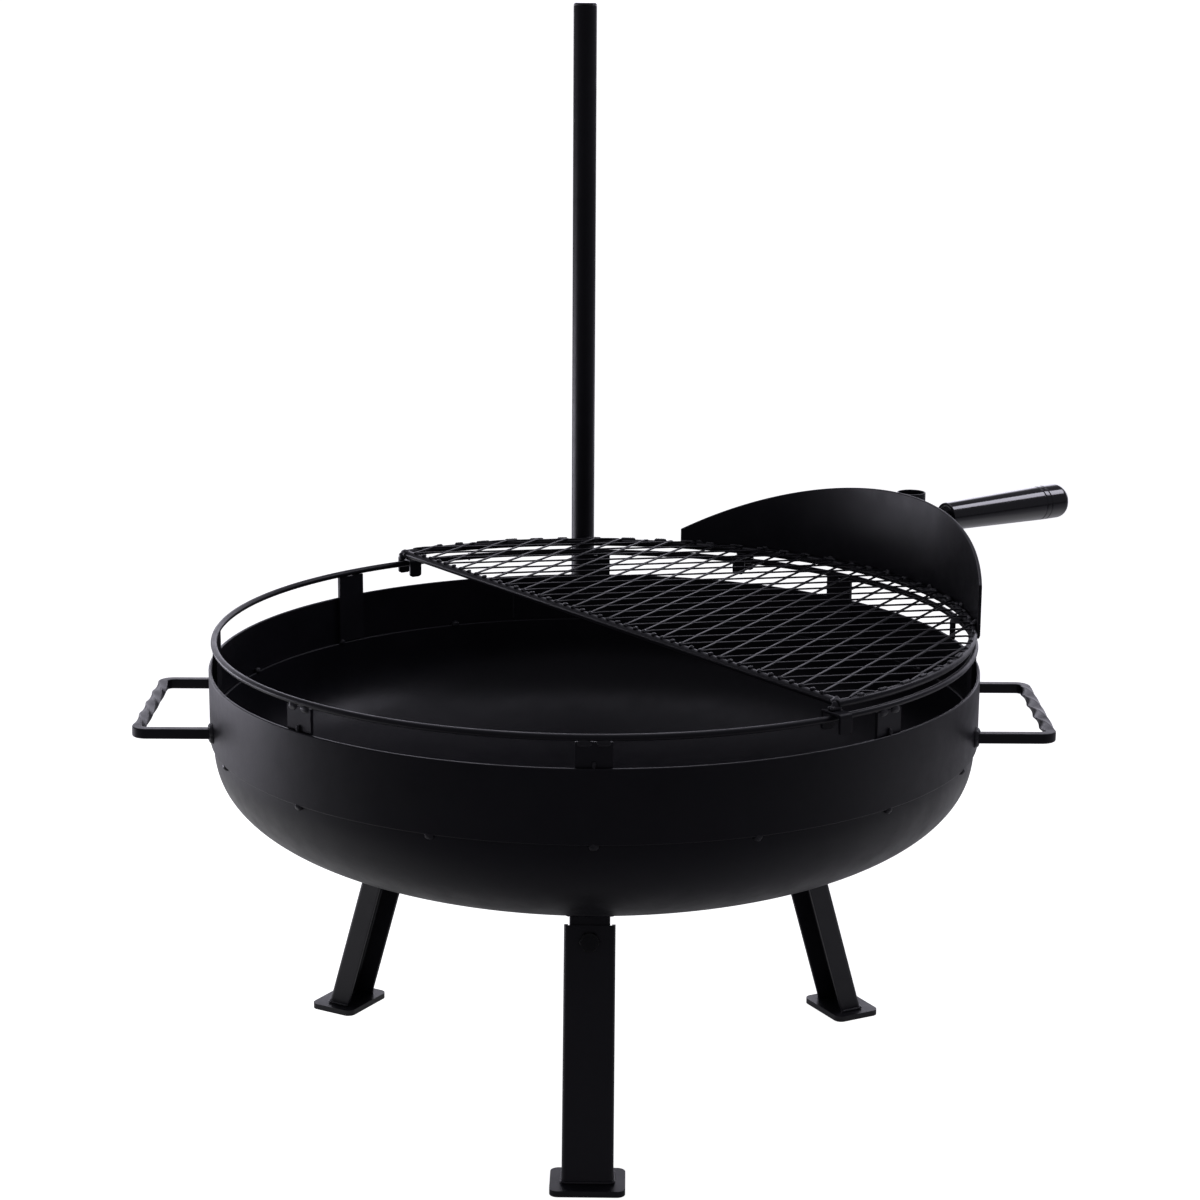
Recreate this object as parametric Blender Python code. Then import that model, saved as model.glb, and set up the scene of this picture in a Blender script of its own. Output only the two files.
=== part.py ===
"""Fire-bowl grill: a round steel fire bowl on three splayed legs, with a rail ring above its rim,
a half-moon grate with a heat shield that hooks over the ring, and a tall post behind the bowl.

Metres, +Z up. The feet stand on z = 0, and the origin is the middle of the bounding box's base.
Bowl parts hang from the empty bowl_axis, and grate parts from grate_pivot, which turns about it.
"""
import math

import bmesh
import bpy
from mathutils import Matrix, Vector

GAP = 0.0003                    # clearance between parts that touch
BOWL_X, BOWL_Y = -0.0369, -0.0196   # bowl axis, seen from the middle of the bounding box

# Side band and bowl pan
BAND_R = 0.381                  # outer radius: a 30 inch bowl
SHEET = 0.003                   # sheet thickness of band, pan and heat shield
BAND_BOTTOM, BAND_TOP = 0.355, 0.425
PAN_R = BAND_R - SHEET - GAP
PAN_TOP = 0.375                 # the pan's edge laps 20 mm inside the band
PAN_DEPTH = 0.131               # from the band's lower edge to the underside of the pan
PAN_FLAT_R = 0.09               # flat middle of the pan
PAN_POWER_R, PAN_POWER_Z = 2.38, 2.53   # superellipse powers of the dished profile
PAN_STEPS = 8
ROUND = 72                      # sides of the large turned parts

# Rail ring on its tabs
RAIL_R, RAIL_Z, RAIL_WIRE = 0.375, 0.4515, 0.0032
TAB_COUNT, TAB_WIDTH, TAB_THICK = 8, 0.033, 0.0032
TAB_BOTTOM = 0.3765

# Side handles
BAR = 0.010                     # square bar
HANDLE_Z, HANDLE_HALF = 0.3725, 0.0935
HANDLE_BEND, HANDLE_REACH = 0.010, 0.4436
HANDLE_TWIST = math.tau         # one full turn along the grip

# Legs
SPLAY = math.radians(17)
LEG_ANGLES = {"front": -90.7, "right": 28, "left": 150}
FOOT_R = 0.304
PLATE_RADIAL, PLATE_WIDTH, PLATE_THICK, PLATE_CORNER = 0.052, 0.070, 0.006, 0.008
LEG_WIDTH, LEG_DEPTH, LEG_WALL, LEG_CORNER, LEG_TOP = 0.048, 0.024, 0.0034, 0.005, 0.240
STUB_WIDTH, STUB_DEPTH, STUB_WALL, STUB_CORNER = 0.038, 0.0168, 0.003, 0.003
STUB_BOTTOM, STUB_TOP = 0.160, 0.290
STUB_AT = LEG_DEPTH / 2 - LEG_WALL - GAP - STUB_DEPTH / 2      # its middle, outward from the leg's centre line
BOLT_AT, BOLT_R, BOLT_HOLE_R = 0.2245, 0.005, 0.0055
HEX_FLATS, HEAD_THICK, NUT_THICK, BOLT_SPARE = 0.017, 0.0064, 0.008, 0.004

# Post and its socket
POST_ANGLE, POST_R = 92, 0.4035
POST_TUBE_R, POST_WALL, POST_TOP = 0.0127, 0.002, 1.0552
SOCKET_R, SOCKET_BORE_R = 0.0169, 0.0135
SOCKET_BOTTOM, SOCKET_TOP, SOCKET_FLOOR = 0.330, 0.418, 0.004
SOCKET_PLATE = (0.005, 0.050, 0.062)    # radial, sideways, up
CAP_THICK, CAP_PLUG = 0.003, 0.015

# Grate, in its own frame: +X runs from the bowl's axis to the middle of the arc
GRATE_ANGLE = 35
ARC_R, ROD, ROD_Z, CHORD_X = 0.3725, 0.004, 0.4634, 0.006
STRAND, MESH_THICK = 0.0024, 0.0020
MESH_SHORT, MESH_LONG = 0.0303, 0.0582  # the two diagonals of one diamond
MESH_R = 0.3738
HOOK_ANGLES = (-90, -29, 29, 88)
HOOK_STRIP, HOOK_WIDTH, HOOK_SPAN, HOOK_DROP = 0.003, 0.014, 0.0125, 0.0195
SHIELD_FROM, SHIELD_TO, SHIELD_PEAK = -41, 40.3, -5.4      # degrees about the bowl's axis
SHIELD_TOP, SHIELD_CROWN = 0.5558, 0.65     # height of the peak, and radius of the top edge's curve
COLLAR_X, COLLAR_R, COLLAR_BORE_R = 0.4116, 0.0152, 0.01375
COLLAR_BOTTOM, COLLAR_TOP = 0.470, 0.5495
BRACKET_THICK, BRACKET_BOTTOM, BRACKET_TOP = 0.005, 0.478, 0.541
STEM_R, STEM_END, GRIP_Z = 0.006, 0.600, 0.517
GRIP_START, GRIP_END, GRIP_R_IN, GRIP_R_OUT = 0.4615, 0.632, 0.0152, 0.0187


# ---------------------------------------------------------------- helpers

def finish(name, colour, roughness, metallic):
    """Principled material."""
    material = bpy.data.materials.new(name)
    material.use_nodes = True
    shader = material.node_tree.nodes["Principled BSDF"]
    shader.inputs["Base Color"].default_value = (*colour, 1)
    shader.inputs["Roughness"].default_value = roughness
    shader.inputs["Metallic"].default_value = metallic
    return material


def empty(name, parent=None, turn=0, at=(0, 0, 0)):
    """Empty that carries parts; turn is in degrees about +Z."""
    carrier = bpy.data.objects.new(name, None)
    carrier.parent = parent
    carrier.location = at
    carrier.rotation_euler.z = math.radians(turn)
    bpy.context.collection.objects.link(carrier)
    return carrier


def add(name, solid, material, parent):
    """Turn a bmesh into a named object."""
    bmesh.ops.recalc_face_normals(solid, faces=solid.faces)
    mesh = bpy.data.meshes.new(name)
    solid.to_mesh(mesh)
    solid.free()
    mesh.materials.append(material)
    mesh.shade_smooth()
    mesh.set_sharp_from_angle(angle=math.radians(35))
    thing = bpy.data.objects.new(name, mesh)
    thing.parent = parent
    bpy.context.collection.objects.link(thing)
    return thing


def loft(rings, closed=False):
    """Solid through rings of equally many points; closed joins the last ring to the first."""
    solid = bmesh.new()
    loops = [[solid.verts.new(point) for point in ring] for ring in rings]
    pairs = list(zip(loops, loops[1:]))
    if closed:
        pairs.append((loops[-1], loops[0]))
    else:
        solid.faces.new(loops[0][::-1])
        solid.faces.new(loops[-1])
    for low, high in pairs:
        for i in range(len(low)):
            j = (i + 1) % len(low)
            solid.faces.new((low[i], low[j], high[j], high[i]))
    return solid


def circle(radius, sides, phase=0.0):
    """Points of a circle, as (x, y) pairs."""
    angles = [phase + math.tau * i / sides for i in range(sides)]
    return [(radius * math.cos(a), radius * math.sin(a)) for a in angles]


def turned(profile, sides, closed=False):
    """Solid of revolution about +Z through (radius, z) points; flat ends unless closed."""
    return loft([[(x, y, z) for x, y in circle(r, sides)] for r, z in profile], closed)


def tube(radius, bore, bottom, top, sides):
    """Open round tube along +Z."""
    return turned([(radius, bottom), (radius, top), (bore, top), (bore, bottom)], sides, closed=True)


def prism(outline, bottom, top):
    """Solid with one flat outline between two heights."""
    return loft([[(x, y, z) for x, y in outline] for z in (bottom, top)])


def block(low, high):
    """Plain box between two corners."""
    (x0, y0, z0), (x1, y1, z1) = low, high
    return prism([(x0, y0), (x1, y0), (x1, y1), (x0, y1)], z0, z1)


def rounded_rectangle(width, depth, corner, steps=3):
    """Outline centred on the origin, with arcs at its corners."""
    points = []
    for quarter, (sx, sy) in enumerate(((1, 1), (-1, 1), (-1, -1), (1, -1))):
        cx, cy = sx * (width / 2 - corner), sy * (depth / 2 - corner)
        for i in range(steps + 1):
            a = math.pi / 2 * (quarter + i / steps)
            points.append((cx + corner * math.cos(a), cy + corner * math.sin(a)))
    return points


def hexagon():
    """Spanner outline with a point at each corner and at the middle of each flat."""
    radii = (HEX_FLATS / math.sqrt(3), HEX_FLATS / 2)
    angles = [math.tau * i / 12 for i in range(12)]
    return [(radii[i % 2] * math.cos(a), radii[i % 2] * math.sin(a)) for i, a in enumerate(angles)]


def cut(thing, cutter):
    """Take the cutter's volume out of a part, and hide the cutter from the build."""
    modifier = thing.modifiers.new(cutter.name, "BOOLEAN")
    modifier.operation = "DIFFERENCE"
    modifier.object = cutter
    cutter.hide_render = True
    cutter.display_type = "WIRE"


# ---------------------------------------------------------------- bowl and rail

def pan_profile(radius, depth, flat_z):
    """Dished half profile, from the band's lower edge down to the flat middle."""
    points = []
    for i in range(PAN_STEPS):
        a = math.radians(72) * i / (PAN_STEPS - 1)
        r = radius * math.cos(a) ** (2 / PAN_POWER_R)
        z = BAND_BOTTOM - depth * math.sin(a) ** (2 / PAN_POWER_Z)
        points.append((r, z))
    return points + [(PAN_FLAT_R, flat_z)]


def make_bowl(paint, axis):
    """Bowl pan and the side band around it."""
    underside = BAND_BOTTOM - PAN_DEPTH
    outside = [(PAN_R, PAN_TOP)] + pan_profile(PAN_R, PAN_DEPTH, underside)
    inside = [(PAN_R - SHEET, PAN_TOP)] + pan_profile(PAN_R - SHEET, PAN_DEPTH - SHEET, underside + SHEET)
    add("bowl_pan", turned(inside[::-1] + outside, ROUND), paint, axis)
    band = tube(BAND_R, BAND_R - SHEET, BAND_BOTTOM, BAND_TOP, ROUND)
    add("side_band", band, paint, axis)


def make_rail(paint, axis):
    """Rail ring and the flat tabs that hold it above the rim."""
    rings = []
    for i in range(ROUND):
        turn = Matrix.Rotation(math.tau * i / ROUND, 3, "Z")
        rings.append([turn @ Vector((RAIL_R + x, 0, RAIL_Z + z)) for x, z in circle(RAIL_WIRE, 6, math.pi / 6)])
    add("rail_ring", loft(rings, closed=True), paint, axis)
    outer = (BAND_R - SHEET) * math.cos(math.pi / ROUND) - 2 * GAP
    for i in range(TAB_COUNT):
        at = empty(f"tab_{i + 1}_axis", axis, 360 * i / TAB_COUNT)
        plate = block((outer - TAB_THICK, -TAB_WIDTH / 2, TAB_BOTTOM),
                      (outer, TAB_WIDTH / 2, RAIL_Z - RAIL_WIRE - GAP))
        add(f"rail_tab_{i + 1}", plate, paint, at)


def handle_path():
    """Centre line of a side handle, as (x, y, twist) from one weld to the other."""
    wall = math.sqrt(BAND_R ** 2 - (HANDLE_HALF - BAR / 2) ** 2) + GAP
    half = HANDLE_HALF - HANDLE_BEND
    start = [(wall, -HANDLE_HALF, 0.0)]
    for i in range(5):
        a = math.pi / 2 * (i / 4 - 1)
        start.append((HANDLE_REACH + HANDLE_BEND * (math.cos(a) - 1),
                      -half + HANDLE_BEND * math.sin(a), 0.0))
    end = [(x, -y, HANDLE_TWIST) for x, y, _ in reversed(start)]
    steps = 18
    middle = []
    for i in range(1, steps):
        s = i / steps
        middle.append((HANDLE_REACH, half * (2 * s - 1), HANDLE_TWIST * s))
    return start + middle + end


def make_handles(paint, axis):
    """Square-bar loops on both sides; the grip of each is twisted."""
    path = handle_path()
    rings = []
    for i, (x, y, twist) in enumerate(path):
        before, after = path[max(i - 1, 0)], path[min(i + 1, len(path) - 1)]
        along = Vector((after[0] - before[0], after[1] - before[1], 0)).normalized()
        side = Vector((along.y, -along.x, 0))
        ring = []
        for corner in range(4):
            a = twist + math.pi / 4 + math.pi / 2 * corner
            reach = BAR / math.sqrt(2)
            point = Vector((x, y, HANDLE_Z)) + reach * (math.cos(a) * side + math.sin(a) * Vector((0, 0, 1)))
            if i in (0, len(path) - 1):
                point.x = math.sqrt(BAND_R ** 2 - point.y ** 2) + GAP
            ring.append(point)
        rings.append(ring)
    for name, turn in (("right", 0), ("left", 180)):
        add(f"side_handle_{name}", loft(rings), paint, empty(f"handle_{name}_axis", axis, turn))


# ---------------------------------------------------------------- legs

def leg_point(a, b, s):
    """Point beside a leg's centre line: a outward, b sideways, s up the leg from the ground."""
    return Vector((FOOT_R + a * math.cos(SPLAY) - s * math.sin(SPLAY), b,
                   a * math.sin(SPLAY) + s * math.cos(SPLAY)))


def across_leg(outline, s, level=False):
    """Outline of (outward, sideways) pairs at s up the leg; level cuts it parallel to the ground."""
    points = []
    for a, b in outline:
        here = (s - a * math.sin(SPLAY)) / math.cos(SPLAY) if level else s
        points.append(leg_point(a, b, here))
    return points


def channel():
    """Outline of a leg: a web on the outer side, and two flanges towards the bowl's axis."""
    deep, wide = LEG_DEPTH / 2, LEG_WIDTH / 2
    side = [(-deep, -wide)]
    for i in range(4):
        t = math.pi / 2 * (i / 3 - 1)
        side.append((deep + LEG_CORNER * (math.cos(t) - 1), LEG_CORNER * (math.sin(t) + 1) - wide))
    side += [(a, -b) for a, b in reversed(side)]
    inner = wide - LEG_WALL
    return side + [(-deep, inner), (deep - LEG_WALL, inner), (deep - LEG_WALL, -inner), (-deep, -inner)]


def bolt_ring(outline, a):
    """Outline around the bolt's axis, a away from the leg's centre line."""
    return [leg_point(a, x, BOLT_AT + y) for x, y in outline]


def make_leg(name, turn, paint, steel, axis, pan_space):
    """Stub under the pan, leg channel bolted over it, foot plate, and the bolt and nut through both."""
    at = empty(f"leg_{name}_axis", axis, turn)
    foot = PLATE_THICK + GAP
    face = LEG_DEPTH / 2 + GAP
    shank = circle(BOLT_R, 12)
    bore = circle(BOLT_HOLE_R, 12)
    hole = add(f"cut_bolt_{name}", loft([bolt_ring(bore, a) for a in (-LEG_DEPTH, LEG_DEPTH)]), paint, at)

    outside = rounded_rectangle(STUB_DEPTH, STUB_WIDTH, STUB_CORNER)
    inside = rounded_rectangle(STUB_DEPTH - 2 * STUB_WALL, STUB_WIDTH - 2 * STUB_WALL, STUB_CORNER / 2)
    rings = []
    for outline, s in ((outside, STUB_BOTTOM), (outside, STUB_TOP), (inside, STUB_TOP), (inside, STUB_BOTTOM)):
        rings.append(across_leg([(STUB_AT + a, b) for a, b in outline], s))
    stub = add(f"leg_stub_{name}", loft(rings, closed=True), paint, at)
    cut(stub, pan_space)
    cut(stub, hole)
    leg = loft([across_leg(channel(), foot, level=True), across_leg(channel(), LEG_TOP)])
    cut(add(f"leg_{name}", leg, paint, at), hole)
    outline = rounded_rectangle(PLATE_RADIAL, PLATE_WIDTH, PLATE_CORNER)
    plate = prism([(FOOT_R + x, y) for x, y in outline], 0, PLATE_THICK)
    add(f"foot_plate_{name}", plate, paint, at)

    back = STUB_AT - STUB_DEPTH / 2 - GAP
    end = back - NUT_THICK - BOLT_SPARE
    bolt = loft([bolt_ring(hexagon(), face + HEAD_THICK), bolt_ring(hexagon(), face),
                 bolt_ring(shank, face), bolt_ring(shank, end)])
    add(f"leg_bolt_{name}", bolt, steel, at)
    nut_bore = circle(BOLT_R + GAP, 12)
    nut = loft([bolt_ring(hexagon(), back), bolt_ring(hexagon(), back - NUT_THICK),
                bolt_ring(nut_bore, back - NUT_THICK), bolt_ring(nut_bore, back)], closed=True)
    add(f"leg_nut_{name}", nut, steel, at)


def make_legs(paint, steel, axis):
    """Three bolted legs, and the pan-shaped cutter that trims their stubs."""
    flat = BAND_BOTTOM - PAN_DEPTH - GAP
    profile = [(PAN_R + GAP, PAN_TOP)] + pan_profile(PAN_R + GAP, PAN_DEPTH + GAP, flat)
    pan_space = add("cut_pan", turned(profile, ROUND), paint, axis)
    for name, turn in LEG_ANGLES.items():
        make_leg(name, turn, paint, steel, axis, pan_space)


# ---------------------------------------------------------------- post

def make_post(paint, plastic, axis):
    """Socket on its plate behind the band, and the post that stands in it."""
    radial = empty("post_radial", axis, POST_ANGLE)
    thick, wide, tall = SOCKET_PLATE
    middle = (SOCKET_BOTTOM + SOCKET_TOP) / 2
    plate = block((BAND_R + GAP, -wide / 2, middle - tall / 2), (BAND_R + GAP + thick, wide / 2, middle + tall / 2))
    add("socket_plate", plate, paint, radial)
    a = math.radians(POST_ANGLE)
    at = empty("post_axis", axis, at=(POST_R * math.cos(a), POST_R * math.sin(a), 0))
    floor = SOCKET_BOTTOM + SOCKET_FLOOR
    add("post_socket", turned([(SOCKET_R, SOCKET_BOTTOM), (SOCKET_R, SOCKET_TOP), (SOCKET_BORE_R, SOCKET_TOP),
                               (SOCKET_BORE_R, floor)], 24), paint, at)
    tube_top = POST_TOP - CAP_THICK - GAP
    bore = POST_TUBE_R - POST_WALL
    add("post_tube", tube(POST_TUBE_R, bore, floor + GAP, tube_top, 24), paint, at)
    plug = bore - GAP
    add("post_cap", turned([(plug, tube_top - CAP_PLUG), (plug, tube_top + GAP), (POST_TUBE_R, tube_top + GAP),
                            (POST_TUBE_R, POST_TOP)], 24), plastic, at)


# ---------------------------------------------------------------- grate

def make_frame(paint, pivot):
    """Half-ring rod and the straight rod across it."""
    end = math.acos((CHORD_X - ROD) / ARC_R)
    steps = 40
    rings = []
    for i in range(steps + 1):
        turn = Matrix.Rotation(end * (2 * i / steps - 1), 3, "Z")
        rings.append([turn @ Vector((ARC_R + x, 0, ROD_Z + z)) for x, z in circle(ROD, 8, math.pi / 8)])
    add("arc_rod", loft(rings), paint, pivot)
    half = math.sqrt(ARC_R ** 2 - CHORD_X ** 2) - ROD - 2 * GAP
    chord = loft([[(CHORD_X + x, y, ROD_Z + z) for x, z in circle(ROD, 8, math.pi / 8)] for y in (-half, half)])
    add("chord_rod", chord, paint, pivot)


def diamonds(bottom, top):
    """One prism for each opening of the expanded mesh, all in one bmesh."""
    shrink = 1 - STRAND / 2 * math.hypot(MESH_LONG, MESH_SHORT) / (MESH_LONG * MESH_SHORT / 2)
    half_long, half_short = MESH_LONG / 2 * shrink, MESH_SHORT / 2 * shrink
    solid = bmesh.new()
    rows = math.ceil(2 * MESH_R / MESH_LONG)
    columns = math.ceil(MESH_R / MESH_SHORT)
    for row in range(rows + 1):
        for column in range(-columns, columns + 1):
            x = CHORD_X + row * MESH_LONG / 2
            y = (column + 0.5 + (row % 2) / 2) * MESH_SHORT
            if math.hypot(x, y) > MESH_R + MESH_LONG / 2:
                continue
            outline = [(x - half_long, y), (x, y - half_short), (x + half_long, y), (x, y + half_short)]
            low = [solid.verts.new((px, py, bottom)) for px, py in outline]
            high = [solid.verts.new((px, py, top)) for px, py in outline]
            solid.faces.new(low[::-1])
            solid.faces.new(high)
            for i in range(4):
                j = (i + 1) % 4
                solid.faces.new((low[i], low[j], high[j], high[i]))
    return solid


def keep_largest_piece(thing):
    """Apply the part's modifiers, then drop strand ends that the outline has cut loose."""
    graph = bpy.context.evaluated_depsgraph_get()
    solid = bmesh.new()
    solid.from_object(thing, graph)
    waiting, pieces = set(solid.verts), []
    while waiting:
        piece, edge = set(), [min(waiting, key=lambda v: v.index)]
        while edge:
            vert = edge.pop()
            if vert not in piece:
                piece.add(vert)
                edge.extend(e.other_vert(vert) for e in vert.link_edges)
        waiting -= piece
        pieces.append(piece)
    largest = max(pieces, key=len)
    bmesh.ops.delete(solid, geom=[v for v in solid.verts if v not in largest], context="VERTS")
    thing.modifiers.clear()
    solid.to_mesh(thing.data)
    solid.free()


def make_mesh(paint, pivot):
    """Expanded steel mesh, trimmed to the half-moon, lying on the rods."""
    bottom = ROD_Z + ROD + GAP
    edge = CHORD_X - ROD / 2
    end = math.acos(edge / MESH_R)
    steps = 40
    angles = [end * (2 * i / steps - 1) for i in range(steps + 1)]
    outline = [(MESH_R * math.cos(a), MESH_R * math.sin(a)) for a in angles]
    sheet = add("grate_mesh", prism(outline, bottom, bottom + MESH_THICK), paint, pivot)
    cutter = add("cut_mesh", diamonds(bottom - MESH_THICK, bottom + 2 * MESH_THICK), paint, pivot)
    cut(sheet, cutter)
    keep_largest_piece(sheet)
    bpy.data.objects.remove(cutter)


def make_hooks(paint, pivot):
    """Strips bent into a saddle over the rail, with a weld pad up to the frame."""
    under = RAIL_Z + RAIL_WIRE + GAP
    top = under + HOOK_STRIP
    low = top - HOOK_DROP
    pad = 0.0035
    outside, inside = HOOK_SPAN + HOOK_STRIP / 2, HOOK_SPAN - HOOK_STRIP / 2
    bevel = 0.0015
    outline = [(RAIL_R + x, z) for x, z in (
        (-outside, low), (-inside, low), (-inside, under), (inside, under), (inside, low), (outside, low),
        (outside, top - bevel), (outside - bevel, top))]
    outline += [(ARC_R + pad, top), (ARC_R + pad, ROD_Z - ROD - GAP), (ARC_R - pad, ROD_Z - ROD - GAP),
                (ARC_R - pad, top), (RAIL_R - outside + bevel, top), (RAIL_R - outside, top - bevel)]
    for i, turn in enumerate(HOOK_ANGLES):
        at = empty(f"hook_{i + 1}_axis", pivot, turn)
        strip = loft([[(r, y, z) for r, z in outline] for y in (-HOOK_WIDTH / 2, HOOK_WIDTH / 2)])
        add(f"rail_hook_{i + 1}", strip, paint, at)


def make_shield(paint, pivot):
    """Curved sheet that stands on the arc rod's outer side, with a crowned top edge."""
    inner = ARC_R + ROD + GAP
    outer = inner + SHEET
    bottom = ROD_Z - ROD
    steps = 32
    rings = []
    for i in range(steps + 1):
        a = math.radians(SHIELD_FROM + (SHIELD_TO - SHIELD_FROM) * i / steps)
        aside = outer * (a - math.radians(SHIELD_PEAK))
        top = SHIELD_TOP - SHIELD_CROWN + math.sqrt(SHIELD_CROWN ** 2 - aside ** 2)
        turn = Matrix.Rotation(a, 3, "Z")
        rings.append([turn @ Vector((r, 0, z)) for r, z in
                      ((inner, bottom), (outer, bottom), (outer, top), (inner, top))])
    add("heat_shield", loft(rings), paint, pivot)
    return outer


def make_collar_and_grip(paint, plastic, pivot, shield_face):
    """Collar that fits the post, its bracket, and the grip on its stem."""
    at = empty("collar_axis", pivot, at=(COLLAR_X, 0, 0))
    add("post_collar", tube(COLLAR_R, COLLAR_BORE_R, COLLAR_BOTTOM, COLLAR_TOP, 24), paint, at)
    bracket = block((shield_face + GAP, -BRACKET_THICK / 2, BRACKET_BOTTOM),
                    (COLLAR_X - COLLAR_R - GAP, BRACKET_THICK / 2, BRACKET_TOP))
    add("collar_bracket", bracket, paint, pivot)

    def across(radius, x, sides=20):
        return [(x, y, GRIP_Z + z) for y, z in circle(radius, sides)]
    start = COLLAR_X + COLLAR_R + GAP
    add("grip_stem", loft([across(STEM_R, x, 16) for x in (start, STEM_END)]), paint, pivot)
    bore, dome = STEM_R + GAP, 0.010
    groove = GRIP_END - 0.030
    outside = [(GRIP_R_IN, GRIP_START), (GRIP_R_OUT, groove)]
    for i in range(5):
        a = math.pi / 2 * i / 5
        outside.append((GRIP_R_OUT - dome + dome * math.cos(a), GRIP_END - dome + dome * math.sin(a)))
    outside.append((GRIP_R_OUT - dome, GRIP_END))
    inside = [(bore, STEM_END + GAP), (bore, GRIP_START)]
    add("grip", loft([across(r, x) for r, x in inside + outside]), plastic, pivot)


# ---------------------------------------------------------------- assembly

def main():
    for thing in list(bpy.data.objects):
        bpy.data.objects.remove(thing)
    paint = finish("black_paint", (0.020, 0.020, 0.022), 0.45, 0.0)
    steel = finish("bolt_steel", (0.030, 0.030, 0.032), 0.40, 0.6)
    plastic = finish("grip_plastic", (0.010, 0.010, 0.012), 0.12, 0.0)
    axis = empty("bowl_axis", at=(BOWL_X, BOWL_Y, 0))
    pivot = empty("grate_pivot", axis, GRATE_ANGLE)
    make_bowl(paint, axis)
    make_rail(paint, axis)
    make_handles(paint, axis)
    make_legs(paint, steel, axis)
    make_post(paint, plastic, axis)
    make_frame(paint, pivot)
    make_mesh(paint, pivot)
    make_hooks(paint, pivot)
    shield_face = make_shield(paint, pivot)
    make_collar_and_grip(paint, plastic, pivot, shield_face)


main()
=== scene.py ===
"""Looks of the fire-bowl grill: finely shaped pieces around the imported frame, their materials, and a studio.

Metres, +Z up. Every piece is built where the frame has its part, so sizes repeat those of the CAD source.
The bowl turns about the vertical axis AXIS; the grate has its own frame, turned about the same axis.
"""
import math
import random

import bmesh
import bpy
from mathutils import Matrix, Vector, noise


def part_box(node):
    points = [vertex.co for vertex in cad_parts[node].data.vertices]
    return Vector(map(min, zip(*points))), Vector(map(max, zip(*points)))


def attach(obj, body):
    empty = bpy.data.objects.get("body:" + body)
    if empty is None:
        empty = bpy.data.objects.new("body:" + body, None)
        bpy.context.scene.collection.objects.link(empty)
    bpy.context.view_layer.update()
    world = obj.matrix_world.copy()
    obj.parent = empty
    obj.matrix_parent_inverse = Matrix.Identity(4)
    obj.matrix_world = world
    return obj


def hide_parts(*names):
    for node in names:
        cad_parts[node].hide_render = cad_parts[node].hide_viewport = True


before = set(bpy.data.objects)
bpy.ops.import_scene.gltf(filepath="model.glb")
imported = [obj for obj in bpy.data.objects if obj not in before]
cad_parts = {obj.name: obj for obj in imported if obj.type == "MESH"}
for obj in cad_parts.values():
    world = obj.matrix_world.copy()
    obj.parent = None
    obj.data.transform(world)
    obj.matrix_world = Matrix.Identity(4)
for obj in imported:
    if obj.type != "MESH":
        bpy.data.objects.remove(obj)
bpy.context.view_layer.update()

# Places read from the frame
BAND_LOW, BAND_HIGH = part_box("side_band")
AXIS = Vector(((BAND_LOW.x + BAND_HIGH.x) / 2, (BAND_LOW.y + BAND_HIGH.y) / 2, 0))
BAND_R = (BAND_HIGH.x - BAND_LOW.x) / 2
BAND_BOTTOM, BAND_TOP = BAND_LOW.z, BAND_HIGH.z
POST_LOW, POST_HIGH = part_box("post_tube")
POST_AXIS = Vector(((POST_LOW.x + POST_HIGH.x) / 2, (POST_LOW.y + POST_HIGH.y) / 2, 0))
PLATE_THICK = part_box("foot_plate_front")[1].z
POST_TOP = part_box("post_cap")[1].z

GAP = 0.0003                    # between parts that are welded or bolted together
SHEET = 0.003                   # thickness of band, pan and heat shield
LAP = 0.020                     # the pan's edge stands this far up inside the band
PAN_DEPTH = 0.131
PAN_POWER_R, PAN_POWER_Z = 2.38, 2.53
PAN_LAST = 89                   # last angle of the pan's profile; 90 would be its middle
TURNED = 288                    # sides of the large turned pieces
CAD_SIDES = 72                  # sides of the band's solid, which the tabs lie against
LIP_ROUND = 0.0012              # round of the band's and the pan's edges
BAND_SEAM, RAIL_SEAM = 104, 112     # where the band and the rail are closed by a weld

RAIL_R, RAIL_Z, RAIL_WIRE = 0.375, 0.4515, 0.0032
TAB_COUNT, TAB_WIDTH, TAB_THICK, TAB_BOTTOM = 8, 0.033, 0.0032, 0.3765
TACK_COUNT = 16                 # weld tacks around each seam of the bowl

BAR, BAR_CORNER = 0.010, 0.0013
HANDLE_Z, HANDLE_HALF = 0.3725, 0.0935
HANDLE_BEND, HANDLE_REACH = 0.010, 0.4436
HANDLE_TWIST = math.tau

SPLAY = math.radians(17)
LEG_ANGLES = {"front": -90.7, "right": 28, "left": 150}
FOOT_R = 0.304
PLATE_RADIAL, PLATE_WIDTH, PLATE_CORNER = 0.052, 0.070, 0.008
LEG_WIDTH, LEG_DEPTH, LEG_WALL, LEG_CORNER, LEG_TOP = 0.048, 0.024, 0.0034, 0.005, 0.240
STUB_WIDTH, STUB_DEPTH, STUB_WALL, STUB_CORNER, STUB_BOTTOM = 0.038, 0.0168, 0.003, 0.003, 0.160
STUB_AT = LEG_DEPTH / 2 - LEG_WALL - GAP - STUB_DEPTH / 2
BOLT_AT, BOLT_R = 0.2245, 0.005
HEX_FLATS, HEAD_THICK, NUT_THICK, BOLT_SPARE = 0.017, 0.0064, 0.008, 0.004

POST_ANGLE = 92
POST_TUBE_R, POST_WALL = 0.0127, 0.002
SOCKET_R, SOCKET_BORE_R, SOCKET_FLOOR = 0.0169, 0.0135, 0.004
CAP_THICK, CAP_PLUG = 0.003, 0.015

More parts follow.
